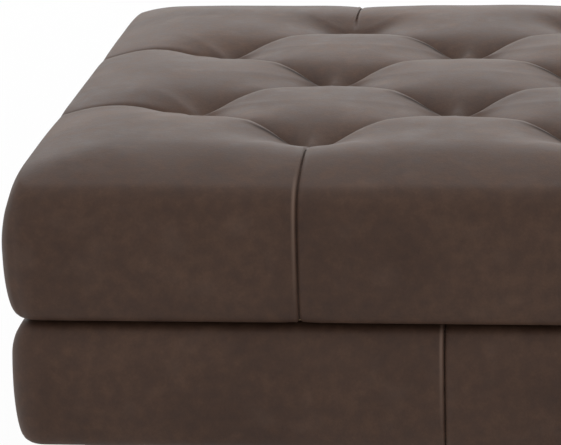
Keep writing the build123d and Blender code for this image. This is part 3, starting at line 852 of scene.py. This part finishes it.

# Painted light on this leather: a painted highlight along the welts of its seams, and painted shade beside
# the folds that fall to the right
# Painted highlight along the top's welts, strongest on the front and back faces and fading at the shoulder
# and the foot
welt_highlight_width, welt_highlight_from, welt_highlight_least = 0.0013, 0.38, 0.1
welt_highlight_high, welt_highlight_high_fade = 0.424, 0.015
welt_highlight_low, welt_highlight_low_fade = 0.285, 0.110
across, out, level = places.T
painted_welt_highlight = sum(np.exp(-(((across - column + welt_offset) / welt_highlight_width) ** 2)) for column in inner_columns)
painted_welt_highlight *= (np.abs(out) > welt_highlight_from) * np.clip((welt_highlight_high - level) / welt_highlight_high_fade, welt_highlight_least, 1)
mark_leather(cover, "painted_welt_highlight", painted_welt_highlight * np.clip((level - welt_highlight_low) / welt_highlight_low_fade, 0, 1))
# Painted shade: a dark band just beside each fold that falls to the right, clear of the tufts at its ends
fold_shade_most, fold_shade_aside, fold_shade_width = 0.95, 0.0120, 0.0042
fold_shade_tuft_room, fold_shade_tuft_fade = 0.012, 0.02
fold_shade_end, fold_shade_end_fade = 0.105, 0.04
fold_shade_low = 0.38
painted_fold_shade = np.zeros(len(places))
for start, end in lapped:
    if end[1] < start[1]:
        along, aside, _, length = beside(across, out, start, end)
        before = length - along
        painted_shade_band = fold_shade_most * np.exp(-(((aside - fold_shade_aside) / fold_shade_width) ** 2))
        painted_shade_band *= np.clip((before - fold_shade_tuft_room) / fold_shade_tuft_fade, 0, 1)
        painted_shade_band *= np.clip((fold_shade_end - before) / fold_shade_end_fade, 0, 1)
        painted_fold_shade = np.maximum(painted_fold_shade, painted_shade_band)
mark_leather(cover, "painted_fold_shade", painted_fold_shade * (level > fold_shade_low))
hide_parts("tufted_top_cover")


# Seam stitches: short stitches of dark bonded nylon thread, sewn across the bottom of every leather seam.
# They close the four seams of the base and the six seams of the top.
stitch_turn = (0.06, 0.12, 0.06)
thread_sides = 6


def stitch_tree(material):
    """Node tree that lays one short stitch across the path at every step along it."""
    tree = bpy.data.node_groups.new("seam_stitching", "GeometryNodeTree")
    tree.interface.new_socket("Seams", in_out="INPUT", socket_type="NodeSocketGeometry")
    for name in ("Stitch Pitch", "Stitch Length", "Thread Radius"):
        tree.interface.new_socket(name, in_out="INPUT", socket_type="NodeSocketFloat")
    tree.interface.new_socket("Seed", in_out="INPUT", socket_type="NodeSocketInt")
    tree.interface.new_socket("Stitches", in_out="OUTPUT", socket_type="NodeSocketGeometry")
    given = tree.nodes.new("NodeGroupInput").outputs
    path = tree.nodes.new("GeometryNodeMeshToCurve")
    steps = tree.nodes.new("GeometryNodeResampleCurve")
    steps.mode = "LENGTH"
    thread = tree.nodes.new("GeometryNodeMeshCylinder")
    thread.inputs["Vertices"].default_value = thread_sides
    lie = tree.nodes.new("GeometryNodeTransform")
    lie.inputs["Rotation"].default_value = (0, math.pi / 2, 0)
    slant = tree.nodes.new("FunctionNodeRandomValue")
    slant.data_type = "FLOAT_VECTOR"
    slant.inputs["Min"].default_value = tuple(-turn for turn in stitch_turn)
    slant.inputs["Max"].default_value = stitch_turn
    lay = tree.nodes.new("GeometryNodeInstanceOnPoints")
    real = tree.nodes.new("GeometryNodeRealizeInstances")
    finish = tree.nodes.new("GeometryNodeSetMaterial")
    finish.inputs["Material"].default_value = material
    result = tree.nodes.new("NodeGroupOutput")
    for start, end in (
        (given["Seams"], path.inputs["Mesh"]),
        (path.outputs["Curve"], steps.inputs["Curve"]),
        (given["Stitch Pitch"], steps.inputs["Length"]),
        (given["Stitch Length"], thread.inputs["Depth"]),
        (given["Thread Radius"], thread.inputs["Radius"]),
        (thread.outputs["Mesh"], lie.inputs["Geometry"]),
        (given["Seed"], slant.inputs["Seed"]),
        (steps.outputs["Curve"], lay.inputs["Points"]),
        (lie.outputs["Geometry"], lay.inputs["Instance"]),
        (slant.outputs["Value"], lay.inputs["Rotation"]),
        (lay.outputs["Instances"], real.inputs["Geometry"]),
        (real.outputs["Geometry"], finish.inputs["Geometry"]),
        (finish.outputs["Geometry"], result.inputs["Stitches"]),
    ):
        tree.links.new(start, end)
    return tree


stitch_sizes = {"Stitch Pitch": 0.0042, "Stitch Length": 0.0034, "Thread Radius": 0.00025, "Seed": 7}
stitch_lift = 0.0012
seam_tolerance, top_stitch_start, top_stitch_low = 0.001, 0.338, 0.275
base_stitch_low, base_stitch_high = 0.140, 0.262
top_middle, base_middle = (0.40, 0.350), (0.40, 0.200)
base_seam_depth = seam_draw + seam_hollow
bottoms = []
for column in inner_columns:
    for sign in (-1, 1):
        in_line = np.abs(outside[:, 0] - column) < seam_tolerance
        past_tufts = outside[:, 1] * sign > top_stitch_start
        on_seam = outside[in_line & past_tufts & (outside[:, 2] > top_stitch_low)]
        on_seam = on_seam[np.argsort(on_seam[:, 1] * sign - on_seam[:, 2])]
        bottoms.append((on_seam, sign, top_middle))
for column in (-base_seam_x, base_seam_x):
    for sign in (-1, 1):
        line = [
            (column, sign * (base_half_depth - inset - base_seam_depth * out), level)
            for inset, level, out, up in base_section
            if base_stitch_low < level < base_stitch_high
        ]
        bottoms.append((np.array(line), sign, base_middle))
vertices, edges = [], []
for line, sign, (middle_y, middle_z) in bottoms:
    outward = np.stack([np.zeros(len(line)), line[:, 1] - sign * middle_y, line[:, 2] - middle_z], axis=1)
    outward /= np.linalg.norm(outward, axis=1)[:, None]
    edges += [(len(vertices) + k, len(vertices) + k + 1) for k in range(len(line) - 1)]
    vertices += [tuple(p) for p in line + outward * stitch_lift]
thread_nylon = plain_finish("bonded_nylon_thread", paint(46, 34, 28), paint(66, 50, 41), 0.5, 0.0, 900.0)
seam_paths = bpy.data.meshes.new("seam_paths")
seam_paths.from_pydata(vertices, edges, [])
draft = bpy.data.objects.new("stitch_draft", seam_paths)
bpy.context.scene.collection.objects.link(draft)
sewing = draft.modifiers.new("sewing", "NODES")
sewing.node_group = stitch_tree(thread_nylon)
for socket in sewing.node_group.interface.items_tree:
    if socket.name in stitch_sizes:
        sewing[socket.identifier] = stitch_sizes[socket.name]
stitches = finish_piece(plain_mesh(draft, "seam_stitches"), thread_nylon)


# Foam block of the top: one block of upholstery foam on the deck board, pressed in under each tuft and fold.
# It lies just inside the batting of the cover.
foam_clearance, foam_level = 0.0006, 0.2886
core_places, core_faces, core_last, core_count = top_surface(
    inner_cells, inner_turns, batting + foam_clearance, [(board_edge, foam_level)]
)
core_faces.append(tuple(core_last + n for n in reversed(range(core_count))))
foam_core = finish_piece(mesh_object("top_foam_block", core_places, core_faces), pad_foam)
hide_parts("top_foam_core")


# Floor and backdrop: one plain pale sheet that the table stands on.
# It shows nearly white to the camera and in gloss, with only a faint shadow of the table.
floor_size = 60
floor_grey = 0.86
floor_glow = 0.96


def pale_to_camera(tree, share):
    """Factor that is share for camera, glossy and transmission rays, and nothing for the rest."""
    path = tree.nodes.new("ShaderNodeLightPath")
    total = path.outputs["Is Camera Ray"]
    for kind in ("Is Glossy Ray", "Is Transmission Ray"):
        either = tree.nodes.new("ShaderNodeMath")
        either.operation = "MAXIMUM"
        tree.links.new(total, either.inputs[0])
        tree.links.new(path.outputs[kind], either.inputs[1])
        total = either.outputs["Value"]
    part = tree.nodes.new("ShaderNodeMath")
    part.operation = "MULTIPLY"
    part.inputs[1].default_value = share
    tree.links.new(total, part.inputs[0])
    return part.outputs["Value"]


def studio_floor():
    """Floor plane with a shader that stays pale for the camera."""
    bpy.ops.mesh.primitive_plane_add(size=floor_size, location=(0, 0, 0))
    floor = bpy.context.object
    floor.name = "studio_floor"
    material = bpy.data.materials.new("pale_floor")
    material.use_nodes = True
    tree = material.node_tree
    shader = tree.nodes["Principled BSDF"]
    shader.inputs["Base Color"].default_value = (floor_grey, floor_grey, floor_grey, 1)
    shader.inputs["Roughness"].default_value = 0.9
    glow = tree.nodes.new("ShaderNodeEmission")
    glow.inputs["Strength"].default_value = 1.0
    mix = tree.nodes.new("ShaderNodeMixShader")
    tree.links.new(pale_to_camera(tree, floor_glow), mix.inputs["Fac"])
    tree.links.new(shader.outputs["BSDF"], mix.inputs[1])
    tree.links.new(glow.outputs["Emission"], mix.inputs[2])
    tree.links.new(mix.outputs["Shader"], tree.nodes["Material Output"].inputs["Surface"])
    floor.data.materials.append(material)


studio_floor()

# Light: a broad soft box over the table and a little behind it, and a long strip further back.
# A pale surround, brighter above and to the right, shows nearly white to the camera and in gloss.
low_light, high_light = 0.28, 0.85
left_light, right_light = 0.72, 1.20
surround_glow = 0.98
world = bpy.data.worlds.new("pale_studio")
world.use_nodes = True
bpy.context.scene.world = world
surround = world.node_tree
background = surround.nodes["Background"]
background.inputs["Color"].default_value = (1, 1, 1, 1)
direction = surround.nodes.new("ShaderNodeTexCoord")
parts = surround.nodes.new("ShaderNodeSeparateXYZ")
lift = surround.nodes.new("ShaderNodeMapRange")
lift.inputs["To Min"].default_value, lift.inputs["To Max"].default_value = low_light, high_light
turn = surround.nodes.new("ShaderNodeMapRange")
turn.inputs["From Min"].default_value = -1.0
turn.inputs["To Min"].default_value, turn.inputs["To Max"].default_value = left_light, right_light
level = surround.nodes.new("ShaderNodeMath")
level.operation = "MULTIPLY"
surround.links.new(direction.outputs["Generated"], parts.inputs["Vector"])
surround.links.new(parts.outputs["Z"], lift.inputs["Value"])
surround.links.new(parts.outputs["X"], turn.inputs["Value"])
surround.links.new(lift.outputs["Result"], level.inputs[0])
surround.links.new(turn.outputs["Result"], level.inputs[1])
plain = surround.nodes.new("ShaderNodeMath")
plain.operation = "MAXIMUM"
surround.links.new(level.outputs["Value"], plain.inputs[0])
surround.links.new(pale_to_camera(surround, surround_glow), plain.inputs[1])
surround.links.new(plain.outputs["Value"], background.inputs["Strength"])


def soft_box(name, place, aim, size, power):
    """Rectangular area lamp pointed at a place."""
    lamp = bpy.data.lights.new(name, "AREA")
    lamp.shape, lamp.size, lamp.size_y, lamp.energy = "RECTANGLE", *size, power
    box = bpy.data.objects.new(name, lamp)
    box.location = place
    box.rotation_euler = (Vector(aim) - Vector(place)).to_track_quat("-Z", "Y").to_euler()
    box.visible_camera = False
    bpy.context.scene.collection.objects.link(box)


soft_box("top_soft_box", place=(-0.3, 1.1, 2.6), aim=(0, 0.1, 0.4), size=(3.2, 2.2), power=14)
soft_box("back_strip", place=(-0.4, 4.4, 1.5), aim=(0, 0, 0.4), size=(5.0, 1.4), power=53)

# Camera: where the photograph's level lens stood, turned down and left to the picture's middle without shift.
# Upright lines therefore lean a little more than they do in the photograph.
image_width = 561
focal_pixels = 2839.0
sensor_width = 36
camera_place = (-0.005, -3.230, 1.169)
camera_data = bpy.data.cameras.new("photo_camera")
camera_data.sensor_width = sensor_width
camera_data.lens = sensor_width * focal_pixels / image_width
yaw, pitch, roll = (math.radians(v) for v in (6.398, 15.759, -1.415))
ahead = Vector((-math.sin(yaw) * math.cos(pitch), math.cos(yaw) * math.cos(pitch), -math.sin(pitch)))
right = Vector((math.cos(yaw), math.sin(yaw), 0))
above = right.cross(ahead)
tilted_right = right * math.cos(roll) + above * math.sin(roll)
tilted_above = above * math.cos(roll) - right * math.sin(roll)
camera = bpy.data.objects.new("photo_camera", camera_data)
camera.matrix_world = Matrix.Translation(camera_place) @ Matrix(
    (tilted_right, tilted_above, -ahead)
).transposed().to_4x4()
bpy.context.scene.collection.objects.link(camera)
bpy.context.scene.camera = camera
bpy.context.scene.view_settings.view_transform = "Standard"
